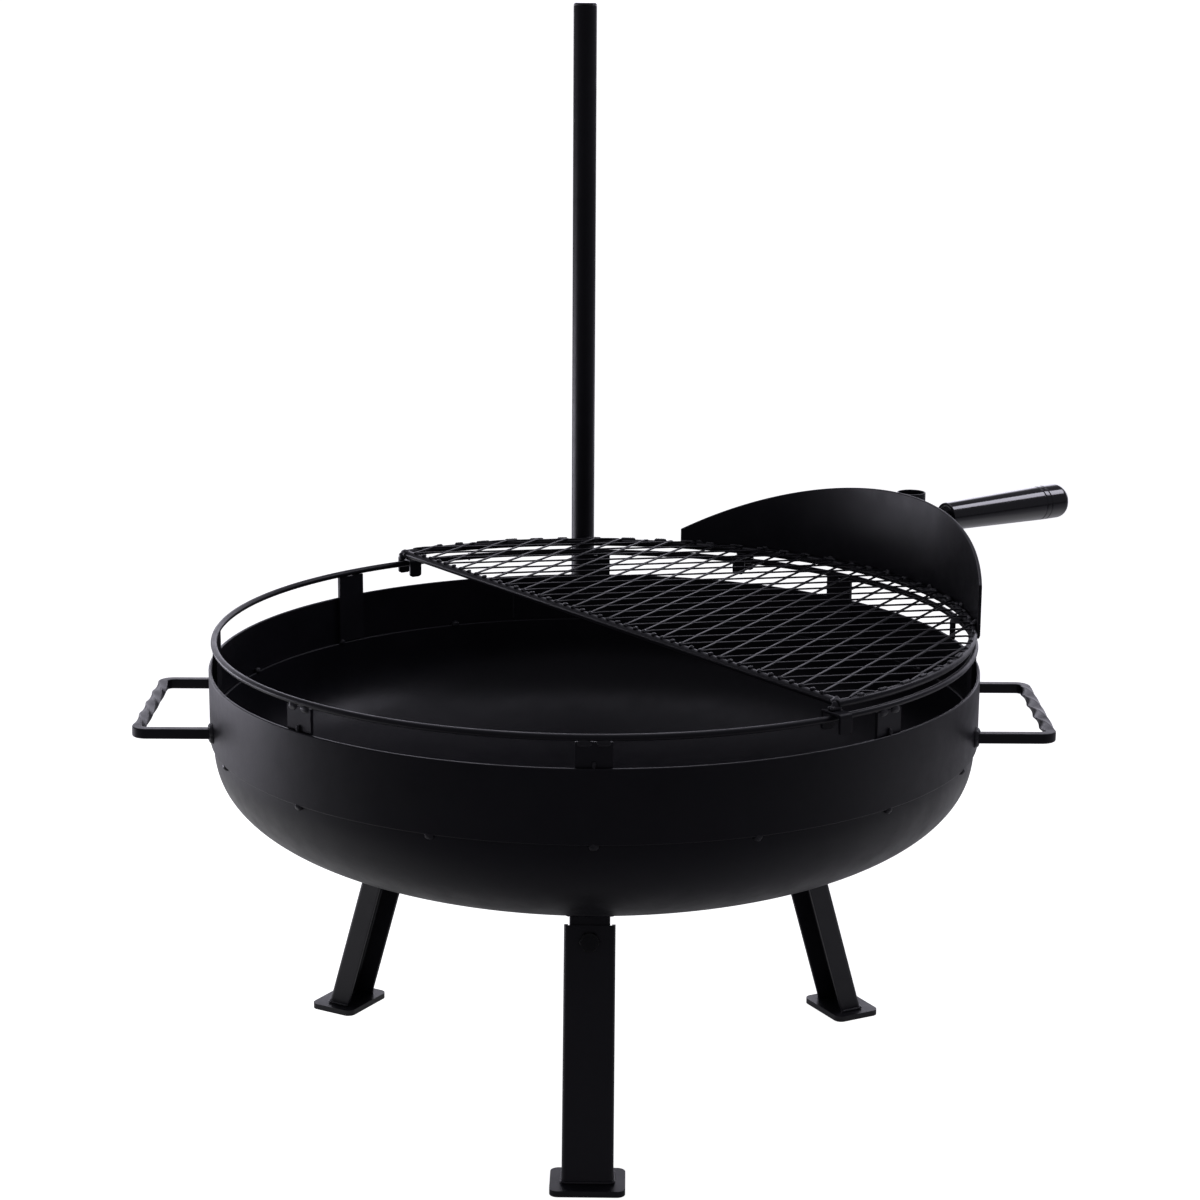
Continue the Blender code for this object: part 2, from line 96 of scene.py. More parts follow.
GRATE_ANGLE = 35
ARC_R, ROD, ROD_Z, CHORD_X = 0.3725, 0.004, 0.4634, 0.006
STRAND, STRAND_THICK, STRAND_TILT = 0.0023, 0.0016, math.radians(8)
BOND, BOND_STEPS, STRAND_STEPS = 0.0022, 2, 4       # length of a knuckle; steps along it and between two
ROD_END, ROD_SIDES = 0.0012, 18     # round of a rod's ends
MESH_SHORT, MESH_LONG, MESH_R = 0.0303, 0.0582, 0.3735
HOOK_ANGLES = (-90, -29, 29, 88)
HOOK_STRIP, HOOK_WIDTH, HOOK_SPAN, HOOK_DROP = 0.003, 0.014, 0.0125, 0.0195
SHIELD_FROM, SHIELD_TO, SHIELD_PEAK = -41, 40.3, -5.4       # degrees around the grate
SHIELD_TOP, SHIELD_CROWN = 0.5558, 0.65     # height of its peak, and radius of its top edge laid flat
SHIELD_TACKS = (-37, -26, -13, -1, 12, 25, 37)
COLLAR_X, COLLAR_R, COLLAR_BORE_R = 0.4116, 0.0152, 0.01375
STEM_R, STEM_END, GRIP_Z = 0.006, 0.600, 0.517
GRIP_START, GRIP_END = 0.4615, 0.632
GRIP_R_IN, GRIP_R_OUT, GRIP_DOME = 0.0152, 0.0187, 0.010
GRIP_GROOVES = (0.0295, 0.0365)     # distances from the outer end

COOL = (0.98, 0.96, 1.10)       # tint of the studio's light
WORLD_DIM, WORLD_BACK = 0.11, 1.7   # the studio as a light: all around, and behind the object
FLOOR_GLOW = 0.92               # brightness that the floor shows the camera by itself
FLOOR_BOUNCE = (0.13, 0.25, 0.50)   # light from the floor near the object: under it, right and left
BOWL_MIDDLE = (0, 0, 0.35)      # what most lights are aimed at
CAMERA_AT, CAMERA_LENS, SENSOR = (0.0002, -2.72, 1.1288), 84.615, 36
CAMERA_PITCH, CAMERA_YAW, CAMERA_ROLL = 0.2324, 0.0018, 0.0062


# ---------------------------------------------------------------- frames

def around(degrees):
    """Frame on the bowl's axis, turned about +Z."""
    return Matrix.Translation(AXIS) @ Matrix.Rotation(math.radians(degrees), 4, "Z")


def turned_by(degrees):
    """Turn about the local +Z axis."""
    return Matrix.Rotation(math.radians(degrees), 4, "Z")


GRATE = around(GRATE_ANGLE)


def polar(radius, degrees, z):
    """Point around the local +Z axis."""
    a = math.radians(degrees)
    return Vector((radius * math.cos(a), radius * math.sin(a), z))


# ---------------------------------------------------------------- shapes

def loft(rings, closed=False, solid=None):
    """Solid through rings of equally many points, added to a bmesh; closed joins last to first."""
    solid = solid or bmesh.new()
    loops = [[solid.verts.new(point) for point in ring] for ring in rings]
    pairs = list(zip(loops, loops[1:]))
    if closed:
        pairs.append((loops[-1], loops[0]))
    else:
        solid.faces.new(loops[0][::-1])
        solid.faces.new(loops[-1])
    for low, high in pairs:
        for i in range(len(low)):
            j = (i + 1) % len(low)
            solid.faces.new((low[i], low[j], high[j], high[i]))
    return solid


def circle(radius, sides):
    """Points of a circle."""
    return [(radius * math.cos(math.tau * i / sides), radius * math.sin(math.tau * i / sides))
            for i in range(sides)]


def rounded(outline, radius, steps=4):
    """Closed outline with an arc in place of each sharp corner."""
    points = []
    for i, here in enumerate(outline):
        here = Vector(here)
        back = Vector(outline[i - 1]) - here
        on = Vector(outline[(i + 1) % len(outline)]) - here
        angle = back.angle(on)
        if angle > math.radians(150):
            points.append(tuple(here))
            continue
        reach = min(radius / math.tan(angle / 2), 0.48 * back.length, 0.48 * on.length)
        size = reach * math.tan(angle / 2)
        middle = here + (back.normalized() + on.normalized()).normalized() * size / math.sin(angle / 2)
        start = here + back.normalized() * reach - middle
        sweep_angle = (math.pi - angle) * (1 if back.cross(on) < 0 else -1)
        for k in range(steps + 1):
            a = sweep_angle * k / steps
            turn = Matrix.Rotation(a, 2)
            points.append(tuple(middle + turn @ start))
    return points


def rectangle(width, depth):
    """Outline centred on the origin."""
    x, y = width / 2, depth / 2
    return [(x, -y), (x, y), (-x, y), (-x, -y)]


def turned(profile, sides, closed=True):
    """Solid of revolution about local +Z through (radius, z) points."""
    return loft([[(r * x, r * y, z) for x, y in circle(1, sides)] for r, z in profile], closed)


def directions(path, closed=False):
    """Unit tangent at each point of a path."""
    result = []
    for i in range(len(path)):
        before = path[i - 1] if closed or i else path[0]
        after = path[(i + 1) % len(path)] if closed or i < len(path) - 1 else path[-1]
        result.append((after - before).normalized())
    return result


def sweep(path, outlines, across, closed=False, solid=None):
    """Solid along a path, with one (side, across) outline for each point."""
    rings = []
    for point, along, outline in zip(path, directions(path, closed), outlines):
        side = along.cross(across).normalized()
        up = side.cross(along)
        rings.append([point + a * side + b * up for a, b in outline])
    return loft(rings, closed, solid)


def bar(path, outline, across, edge, solid=None):
    """Bar of constant section along an open path, its two ends softened by an edge radius."""
    size = max(math.hypot(a, b) for a, b in outline)
    steps = 3
    points, sections = [], []
    for i in range(steps):
        a = math.pi / 2 * (1 - i / steps)
        points.append(path[0] + (path[1] - path[0]).normalized() * edge * (1 - math.sin(a)))
        sections.append(1 - edge / size * (1 - math.cos(a)))
    inner = [path[0] + (path[1] - path[0]).normalized() * edge]
    inner += path[1:-1] + [path[-1] + (path[-2] - path[-1]).normalized() * edge]
    tail = []
    for i in range(steps):
        a = math.pi / 2 * (i + 1) / steps
        tail.append((path[-1] + (path[-2] - path[-1]).normalized() * edge * (1 - math.sin(a)),
                     1 - edge / size * (1 - math.cos(a))))
    points += inner + [point for point, _ in tail]
    sections += [1] * len(inner) + [scale for _, scale in tail]
    return sweep(points, [[(a * s, b * s) for a, b in outline] for s in sections], across, solid=solid)


def soften(solid, width, segments=3):
    """Round every edge sharper than 40 degrees."""
    edges = [e for e in solid.edges if e.calc_face_angle(0) > math.radians(40)]
    bmesh.ops.bevel(solid, geom=edges, offset=width, segments=segments, profile=0.5,
                    affect="EDGES", clamp_overlap=True)
    return solid


def slab(outline, low, high, edge):
    """Plate between two heights, with softened edges."""
    return soften(loft([[(x, y, z) for x, y in outline] for z in (low, high)]), edge)


def resample(path, step, closed):
    """Points at even distances along a path."""
    path = path + path[:1] if closed else path
    lengths = [0.0]
    for a, b in zip(path, path[1:]):
        lengths.append(lengths[-1] + (b - a).length)
    count = max(4, round(lengths[-1] / step))
    points, piece = [], 0
    for i in range(count + (0 if closed else 1)):
        s = lengths[-1] * i / count
        while piece < len(path) - 2 and lengths[piece + 1] < s:
            piece += 1
        span = lengths[piece + 1] - lengths[piece]
        points.append(path[piece].lerp(path[piece + 1], (s - lengths[piece]) / span))
    return points, lengths[-1] / count


def bead(solid, path, radius, seed, closed=False):
    """Weld bead along a path: overlapping ripples of uneven size."""
    rng = random.Random(seed)
    points, step = resample(path, radius * 0.3, closed)
    tangents = directions(points, closed)
    side = tangents[0].orthogonal().normalized()
    pitch, sides = radius * 1.1, 8
    rings = []
    for i, (point, along) in enumerate(zip(points, tangents)):
        side = (side - side.dot(along) * along).normalized()
        up = along.cross(side)
        ripple = 0.90 + 0.16 * abs(math.sin(math.pi * i * step / pitch)) + rng.uniform(-0.03, 0.03)
        left = min(i, len(points) - 1 - i) * step
        taper = 1 if closed else math.sqrt(max(0.06, 1 - (1 - min(left / radius, 1)) ** 2))
        size = radius * ripple * taper
        rings.append([point + size * (x * side + y * up) for x, y in circle(1, sides)])
    loft(rings, closed, solid)


def tack(solid, place, half_sizes, seed):
    """Uneven lump of weld; place is its frame."""
    lump = bmesh.ops.create_icosphere(solid, subdivisions=3, radius=1)["verts"]
    shift = Vector((seed * 3.7, seed * 1.3, seed * 2.1))
    for vert in lump:
        swell = 1 + 0.25 * noise.noise(vert.co * 1.6 + shift)
        vert.co = place @ Vector([vert.co[k] * half_sizes[k] * swell for k in range(3)])


def piece(name, solid, place, material, body, nodes=(), sharp=50):
    """Finished object: it rides on its body, and stands for its CAD nodes."""
    bmesh.ops.recalc_face_normals(solid, faces=solid.faces)
    solid.transform(place)
    mesh = bpy.data.meshes.new(name)
    solid.to_mesh(mesh)
    solid.free()
    mesh.materials.append(material)
    mesh.shade_smooth()
    mesh.set_sharp_from_angle(angle=math.radians(sharp))
    thing = bpy.data.objects.new(name, mesh)
    bpy.context.collection.objects.link(thing)
    even = thing.modifiers.new("even_normals", "WEIGHTED_NORMAL")
    even.keep_sharp = True
    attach(thing, body)
    if nodes:
        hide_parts(*nodes)
    return thing


# ---------------------------------------------------------------- materials


def wire(tree, source, target):
    """Link an output socket to an input socket."""
    tree.links.new(source, target)


def noise_node(tree, coordinates, scale, detail=3.0, rough=0.55):
    """Noise texture in object space; its factor output."""
    texture = tree.nodes.new("ShaderNodeTexNoise")
    texture.inputs["Scale"].default_value = scale
    texture.inputs["Detail"].default_value = detail
    texture.inputs["Roughness"].default_value = rough
    wire(tree, coordinates, texture.inputs["Vector"])
    return texture.outputs["Factor" if "Factor" in texture.outputs else "Fac"]


def ranged(tree, value, low, high, to_low, to_high):
    """Map range node, clamped."""
    node = tree.nodes.new("ShaderNodeMapRange")
    for name, number in (("From Min", low), ("From Max", high), ("To Min", to_low), ("To Max", to_high)):
        node.inputs[name].default_value = number
    wire(tree, value, node.inputs["Value"])
    return node.outputs["Result"]


def calculated(tree, operation, first, second):
    """Math node; first is a socket, second a socket or a number."""
    node = tree.nodes.new("ShaderNodeMath")
    node.operation = operation
    wire(tree, first, node.inputs[0])
    if isinstance(second, (float, int)):
        node.inputs[1].default_value = second
    else:
        wire(tree, second, node.inputs[1])
    return node.outputs[0]


def mixed(tree, factor, first, second):
    """Colour mix; first and second are colours or sockets."""
    node = tree.nodes.new("ShaderNodeMix")
    node.data_type = "RGBA"
    wire(tree, factor, node.inputs["Factor"])
    for name, value in (("A", first), ("B", second)):
        socket = [s for s in node.inputs if s.name == name and s.type == "RGBA"][0]
        if isinstance(value, tuple):
            socket.default_value = (*value, 1)
        else:
            wire(tree, value, socket)
    return [s for s in node.outputs if s.type == "RGBA"][0]


def bumped(tree, height, distance, strength, below=None):
    """Bump node; below is the normal that it adds to."""
    node = tree.nodes.new("ShaderNodeBump")
    node.inputs["Strength"].default_value = strength
    node.inputs["Distance"].default_value = distance
    wire(tree, height, node.inputs["Height"])
    if below is not None:
        wire(tree, below, node.inputs["Normal"])
    return node.outputs["Normal"]


def finish(name, dark, light, worn, gloss, specular, bumps, metallic=0.0, coat=0.0):
    """Near-black finish with cloudy colour, thin lighter edges, uneven gloss and layered bumps.

    gloss is (lowest roughness, highest roughness); bumps are (scale, distance, strength) layers.
    """
    material = bpy.data.materials.new(name)
    material.use_nodes = True
    tree = material.node_tree
    shader = tree.nodes["Principled BSDF"]
    place = tree.nodes.new("ShaderNodeTexCoord").outputs["Object"]
    cloud = ranged(tree, noise_node(tree, place, 9, 5), 0.35, 0.65, 0, 1)
    colour = mixed(tree, cloud, dark, light)
    speck = ranged(tree, noise_node(tree, place, 700, 2), 0.62, 0.75, 0, 0.35)
    colour = mixed(tree, speck, colour, worn)
    edge = tree.nodes.new("ShaderNodeNewGeometry").outputs["Pointiness"]
    rubbed = ranged(tree, edge, 0.53, 0.62, 0, 0.6)
    colour = mixed(tree, rubbed, colour, worn)
    wire(tree, colour, shader.inputs["Base Color"])
    rough = ranged(tree, noise_node(tree, place, 38, 6, 0.65), 0.3, 0.7, *gloss)
    wire(tree, rough, shader.inputs["Roughness"])
    normal = None
    for scale, distance, strength in bumps:
        normal = bumped(tree, noise_node(tree, place, scale, 3), distance, strength, normal)
    wire(tree, normal, shader.inputs["Normal"])
    shader.inputs["Metallic"].default_value = metallic
    shader.inputs["Specular IOR Level"].default_value = specular
    shader.inputs["Coat Weight"].default_value = coat
    shader.inputs["Coat Roughness"].default_value = 0.08
    shader.inputs["Coat IOR"].default_value = 1.5
    return material


COAT = finish("satin_black_coat", (0.0090, 0.0085, 0.0125), (0.0125, 0.0119, 0.0168), (0.026, 0.0255, 0.031),
              (0.32, 0.44), 0.45, ((30, 0.0006, 0.10), (420, 0.0002, 0.18), (1500, 0.0001, 0.22)))
# Welds: the same black coat, with its colours painted lighter as a painted sheen that stands in for the
# highlights their bulges catch.
WELD_PAINTED_SHEEN = finish("weld_coat_painted_sheen", (0.016, 0.0155, 0.020), (0.026, 0.025, 0.031), (0.050, 0.050, 0.056),
              (0.28, 0.42), 0.60, ((260, 0.0005, 0.35), (1300, 0.0002, 0.30)))
OXIDE = finish("black_oxide_steel", (0.020, 0.020, 0.021), (0.034, 0.034, 0.036), (0.090, 0.088, 0.085),
               (0.30, 0.46), 0.5, ((500, 0.0001, 0.20), (1800, 0.00005, 0.25)), metallic=0.6)
GLOSS = finish("gloss_black_moulding", (0.004, 0.004, 0.006), (0.006, 0.006, 0.009), (0.011, 0.011, 0.014),
               (0.10, 0.20), 0.5, ((24, 0.0010, 0.12), (260, 0.0002, 0.06)), coat=1.0)


# ---------------------------------------------------------------- bowl and rail

def pan_curve(radius, depth, steps):
    """Dished half profile from the band's lower edge almost to the middle."""
    points = []
    for i in range(steps + 1):
        a = math.radians(PAN_LAST * i / steps)
        points.append((radius * math.cos(a) ** (2 / PAN_POWER_R),
                       BAND_BOTTOM - depth * math.sin(a) ** (2 / PAN_POWER_Z)))
    return points


def make_bowl():
    """Side band with rounded lips, and the dished pan inside it."""
    inner = BAND_R - SHEET
    section = rounded([(BAND_R, BAND_BOTTOM), (BAND_R, BAND_TOP), (inner, BAND_TOP), (inner, BAND_BOTTOM)],
                      LIP_ROUND)
    piece("rolled_side_band", turned(section, TURNED), around(0), COAT, "firepit", ["side_band"])

    lip, outer = BAND_BOTTOM + LAP, inner - GAP
    outside = pan_curve(outer, PAN_DEPTH, 60)
    inside = pan_curve(outer - SHEET, PAN_DEPTH - SHEET, 60)
    rim = rounded([(outer - SHEET, lip), (outer, lip), (outer, BAND_BOTTOM), (outer - SHEET, BAND_BOTTOM)],
                  LIP_ROUND)[:10]
    pan = turned(inside[::-1] + rim + outside, TURNED, closed=False)
    piece("dished_pan", pan, around(0), COAT, "firepit", ["bowl_pan"])


def make_bowl_welds():
    """Tacks along the lap seam, inside and out, and the band's upright butt weld."""
    solid = bmesh.new()
    aside = Matrix.Rotation(math.radians(2), 4, "Z")
    lap_top = BAND_BOTTOM + LAP
    for i in range(TACK_COUNT):
        face = turned_by(-90 + 360 * i / TACK_COUNT)
        outside = face @ Matrix.Translation((BAND_R - 0.0022, 0, BAND_BOTTOM - 0.0012))
        tack(solid, outside, (0.0032, 0.0042, 0.0036), i)
        inside = aside @ face @ Matrix.Translation((BAND_R - 2 * SHEET + 0.0010, 0, lap_top + 0.0008))
        tack(solid, inside, (0.0036, 0.0044, 0.0036), i + 40)
    for radius, low in ((BAND_R - 0.0009, BAND_BOTTOM + 0.002), (BAND_R - SHEET + 0.0009, lap_top + 0.002)):
        ends = [polar(radius, BAND_SEAM, z) for z in (low, BAND_TOP - 0.0015)]
        bead(solid, ends, 0.0015, BAND_SEAM)
    piece("bowl_welds", solid, around(0), WELD_PAINTED_SHEEN, "firepit")


def make_rail():
    """Round rail with its butt weld, its tabs, and the tacks that hold them."""
    path = [polar(RAIL_R, 360 * i / TURNED, RAIL_Z) for i in range(TURNED)]
    ring = sweep(path, [circle(RAIL_WIRE, 14)] * TURNED, Vector((0, 0, 1)), closed=True)
    piece("round_rail", ring, around(0), COAT, "firepit", ["rail_ring"])

    tab_face = (BAND_R - SHEET) * math.cos(math.pi / CAD_SIDES) - 2 * GAP
    tab_top = RAIL_Z - RAIL_WIRE - GAP
    half = TAB_WIDTH / 2
    shape = [(half, TAB_BOTTOM), (half, tab_top), (-half, tab_top), (-half, TAB_BOTTOM)]
    welds = bmesh.new()
    for i in range(TAB_COUNT):
        turn = 360 * i / TAB_COUNT
        face = rounded(shape, 0.0008, 3)
        tab = soften(loft([[(x, y, z) for y, z in face] for x in (tab_face - TAB_THICK, tab_face)]), 0.0005)
        piece(f"rounded_tab_{i + 1}", tab, around(turn), COAT, "firepit", [f"rail_tab_{i + 1}"])
        place = turned_by(turn)
        for side in (-1, 1):
            top = Matrix.Translation((tab_face - 0.0004, side * half / 2, tab_top - 0.0012))
            tack(welds, place @ top, (0.0021, 0.0062, 0.0036), 3 * i + side)
        rim = Matrix.Translation((tab_face + 0.0012, 0, BAND_TOP + 0.0014))
        tack(welds, place @ rim, (0.0021, 0.0020, 0.0042), 3 * i + 90)
    joint = [polar(RAIL_R + RAIL_WIRE * x, RAIL_SEAM, RAIL_Z + RAIL_WIRE * z) for x, z in circle(1, 16)]
    bead(welds, joint, 0.0010, 7, closed=True)
    piece("rail_welds", welds, around(0), WELD_PAINTED_SHEEN, "firepit")


# ---------------------------------------------------------------- side handles

def handle_path():
    """Centre line of a side handle with its twist, from one weld to the other."""
    wall = math.sqrt(BAND_R ** 2 - HANDLE_HALF ** 2)
    half = HANDLE_HALF - HANDLE_BEND
    start = [(wall, -HANDLE_HALF, 0.0)]
    straight, bend, grip = 8, 10, 120
    for i in range(1, straight):
        start.append((wall + (HANDLE_REACH - HANDLE_BEND - wall) * i / straight, -HANDLE_HALF, 0.0))
    for i in range(bend + 1):
        a = math.pi / 2 * (i / bend - 1)
        start.append((HANDLE_REACH + HANDLE_BEND * (math.cos(a) - 1), -half + HANDLE_BEND * math.sin(a), 0.0))
    middle = []
    for i in range(1, grip):
        s = i / grip
        middle.append((HANDLE_REACH, half * (2 * s - 1), HANDLE_TWIST * s))
    return start + middle + [(x, -y, HANDLE_TWIST) for x, y, _ in reversed(start)]


def make_handles():
    """Twisted square-bar handles, welded to the band all round each end."""
    path = handle_path()
    points = [Vector((x, y, HANDLE_Z)) for x, y, _ in path]
    square = rounded(rectangle(BAR, BAR), BAR_CORNER, 4)
    sections = []
    for _, _, twist in path:
        c, s = math.cos(twist), math.sin(twist)
        sections.append([(c * a - s * b, s * a + c * b) for a, b in square])
    for name, turn in (("right", 0), ("left", 180)):
        solid = sweep(points, sections, Vector((0, 0, 1)))
        solid.verts.ensure_lookup_table()
        for vert in list(solid.verts)[:len(square)] + list(solid.verts)[-len(square):]:
            vert.co.x = math.sqrt(BAND_R ** 2 - vert.co.y ** 2) - 0.0008
        piece(f"twisted_handle_{name}", solid, around(turn), COAT, "firepit", [f"side_handle_{name}"])
        welds = bmesh.new()
        for side in (-1, 1):
            loop = []
            for y, z in rounded(rectangle(BAR + 0.0024, BAR + 0.0024), 0.003, 4):
                y += side * HANDLE_HALF
                loop.append(Vector((math.sqrt(BAND_R ** 2 - y ** 2) + 0.0004, y, HANDLE_Z + z)))
            bead(welds, loop, 0.0034, 11 + side, closed=True)
        piece(f"handle_welds_{name}", welds, around(turn), WELD_PAINTED_SHEEN, "firepit")


# ---------------------------------------------------------------- legs

def leg_point(a, b, s):
    """Point beside a leg's centre line: a outward, b sideways, s up the leg from the ground."""
    return Vector((FOOT_R + a * math.cos(SPLAY) - s * math.sin(SPLAY), b,
                   a * math.sin(SPLAY) + s * math.cos(SPLAY)))


def up_leg(a, z):
    """Distance up the leg at which a line beside it is at a height."""
    return (z - a * math.sin(SPLAY)) / math.cos(SPLAY)


def pan_underside(radius):
    """Height of the pan's outer face at a radius."""
    power = min(1, radius / (BAND_R - SHEET - GAP)) ** PAN_POWER_R
    return BAND_BOTTOM - PAN_DEPTH * (1 - power) ** (1 / PAN_POWER_Z)


def meet_pan(a, b, inset):
    """Distance up the leg at which a line beside it reaches the pan's underside."""
    low, high = STUB_BOTTOM, 0.32
    for _ in range(40):
        middle = (low + high) / 2
        point = leg_point(a, b, middle)
        if point.z < pan_underside(math.hypot(point.x, point.y)) + inset:
            low = middle
        else:
            high = middle
    return low


def channel():
    """Outline of a leg: a web on the outer side with rounded bends, and flanges towards the bowl's axis."""
    deep, wide, steps = LEG_DEPTH / 2, LEG_WIDTH / 2, 8
    lip, bend = 0.0008, 0.0020
    side = []
    for centre, radius, start in (((lip - deep, lip - wide), lip, -math.pi),
                                  ((deep - LEG_CORNER, LEG_CORNER - wide), LEG_CORNER, -math.pi / 2)):
        for i in range(steps + 1):
            a = start + math.pi / 2 * i / steps
            side.append((centre[0] + radius * math.cos(a), centre[1] + radius * math.sin(a)))
    inner, back = wide - LEG_WALL, deep - LEG_WALL
    under = []
    for centre, radius, start, way in (((back - bend, bend - inner), bend, 0, -1),
                                       ((lip - deep, -inner - lip), lip, math.pi / 2, 1)):
        for i in range(steps + 1):
            a = start + way * math.pi / 2 * i / steps
            under.append((centre[0] + radius * math.cos(a), centre[1] + radius * math.sin(a)))
    return side + [(a, -b) for a, b in reversed(side)] + [(a, -b) for a, b in reversed(under)] + under


def make_leg(name, turn):
    """Stub welded under the pan, leg channel bolted over it, and the foot plate."""
    place = around(turn)
    outer = rounded(rectangle(STUB_DEPTH, STUB_WIDTH), STUB_CORNER, 6)
    inner = rounded(rectangle(STUB_DEPTH - 2 * STUB_WALL, STUB_WIDTH - 2 * STUB_WALL), STUB_CORNER / 2, 6)
    outer, inner = ([(STUB_AT + a, b) for a, b in outline] for outline in (outer, inner))
    stub = loft([[leg_point(a, b, STUB_BOTTOM) for a, b in outer],
                 [leg_point(a, b, meet_pan(a, b, 0.0010)) for a, b in outer],
                 [leg_point(a, b, meet_pan(a, b, 0.0010)) for a, b in inner],
                 [leg_point(a, b, STUB_BOTTOM) for a, b in inner]], closed=True)
    piece(f"square_stub_{name}", stub, place, COAT, "firepit", [f"leg_stub_{name}"])

    foot = PLATE_THICK + GAP
    ends = []
    for at_top in (False, True):
        ends.append([leg_point(a, b, LEG_TOP if at_top else up_leg(a, foot)) for a, b in channel()])
    leg = soften(loft(ends), 0.0006)
    piece(f"channel_leg_{name}", leg, place, COAT, "firepit", [f"leg_{name}"])

    outline = [(FOOT_R + x, y) for x, y in rounded(rectangle(PLATE_RADIAL, PLATE_WIDTH), PLATE_CORNER, 8)]
    piece(f"foot_pad_{name}", slab(outline, 0, PLATE_THICK, 0.0012), place, COAT, "firepit",
          [f"foot_plate_{name}"])

    welds = bmesh.new()
    grown = rounded(rectangle(STUB_DEPTH + 0.003, STUB_WIDTH + 0.003), STUB_CORNER, 6)
    seam = [leg_point(STUB_AT + a, b, meet_pan(STUB_AT + a, b, 0) - 0.0012) for a, b in grown]
    bead(welds, seam, 0.0032, turn, closed=True)
    half, low = LEG_WIDTH / 2 + 0.0002, foot + 0.0010
    outside = LEG_DEPTH / 2
    around_foot = [(-outside, -half), (outside - 0.004, -half), (outside - 0.001, -half + 0.001),
                   (outside + 0.0002, -half + 0.005)]
    around_foot += [(a, -b) for a, b in reversed(around_foot)]
    bead(welds, [leg_point(a, b, up_leg(a, low)) for a, b in around_foot], 0.0015, turn + 1)
    for side in (-1, 1):
        a, b = outside - LEG_WALL - 0.0030, side * 0.0070
        spot = leg_point(a, b, up_leg(a, foot + 0.0012))
        tack(welds, Matrix.Translation(spot), (0.0040, 0.0075, 0.0030), 2 * turn + side)
    piece(f"leg_welds_{name}", welds, place, WELD_PAINTED_SHEEN, "firepit")


def hex_ring(cone, a, scale=1.0):
    """Hexagon around the bolt's axis, cut by a cone of the given radius; a is its place along the axis."""
    points = []
    for i in range(48):
        angle = math.tau * i / 48
        inside = (angle + math.pi / 3) % (math.pi / 3) - math.pi / 6
        flat = HEX_FLATS / 2 / math.cos(inside)
        radius = min(flat, cone) * scale
        points.append(leg_point(a, radius * math.cos(angle), BOLT_AT + radius * math.sin(angle)))
    return points


def make_bolt(name, turn):
    """Hexagon bolt with a chamfered head and a thread, and its nut inside the splay."""
    place = around(turn)
    face = LEG_DEPTH / 2 + GAP
    corner = HEX_FLATS / math.sqrt(3)
    washer = HEX_FLATS / 2 * 0.97
    rings = [hex_ring(washer, face), hex_ring(washer, face + 0.0005), hex_ring(corner, face + 0.0006),
             hex_ring(corner, face + HEAD_THICK - 0.0014)]
    for drop, cone in ((0.0009, corner * 0.965), (0.0004, corner * 0.93), (0.0, corner * 0.87)):
        rings.append(hex_ring(cone, face + HEAD_THICK - drop))
    for inset, sunk in ((0.80, 0.0001), (0.45, 0.0003), (0.12, 0.0004)):
        rings.append(hex_ring(washer, face + HEAD_THICK - sunk, inset))
    bolt = loft(rings)
    back = STUB_AT - STUB_DEPTH / 2 - GAP
    outer = back - NUT_THICK
    end = outer - BOLT_SPARE
    pitch, depth, sides = 0.0015, 0.0005, 32
    threads = []
    reach = NUT_THICK + BOLT_SPARE + 0.002
    count = round(reach / pitch * 8)
    for k in range(count + 1):
        a = end + reach * k / count
        start = min(1, (a - end) / pitch)
        ring = []
        for i in range(sides):
            angle = math.tau * i / sides
            phase = (a / pitch + angle / math.tau) % 1
            radius = BOLT_R - depth * abs(2 * phase - 1) - 0.0006 * (1 - start)
            ring.append(leg_point(a, radius * math.cos(angle), BOLT_AT + radius * math.sin(angle)))
        threads.append(ring)
    plain = [[leg_point(a, r * x, BOLT_AT + r * y) for x, y in circle(1, sides)]
             for a, r in ((end + reach + 0.0004, BOLT_R), (face + 0.0001, BOLT_R))]
    loft(threads + plain, solid=bolt)
    piece(f"hex_bolt_{name}", bolt, place, OXIDE, "firepit", [f"leg_bolt_{name}"], sharp=30)

    bore = BOLT_R + GAP
    eased = corner * 0.94
    rings = [hex_ring(washer, back), hex_ring(eased, back - 0.0004), hex_ring(corner, back - 0.0011),
             hex_ring(corner, outer + 0.0011), hex_ring(eased, outer + 0.0004), hex_ring(washer, outer)]
    for a, r in ((outer, bore + 0.0007), (outer + 0.0007, bore), (back, bore)):
        rings.append([leg_point(a, r * x, BOLT_AT + r * y) for x, y in circle(1, 48)])
    piece(f"hex_nut_{name}", loft(rings, closed=True), place, OXIDE, "firepit", [f"leg_nut_{name}"], sharp=30)


# ---------------------------------------------------------------- post

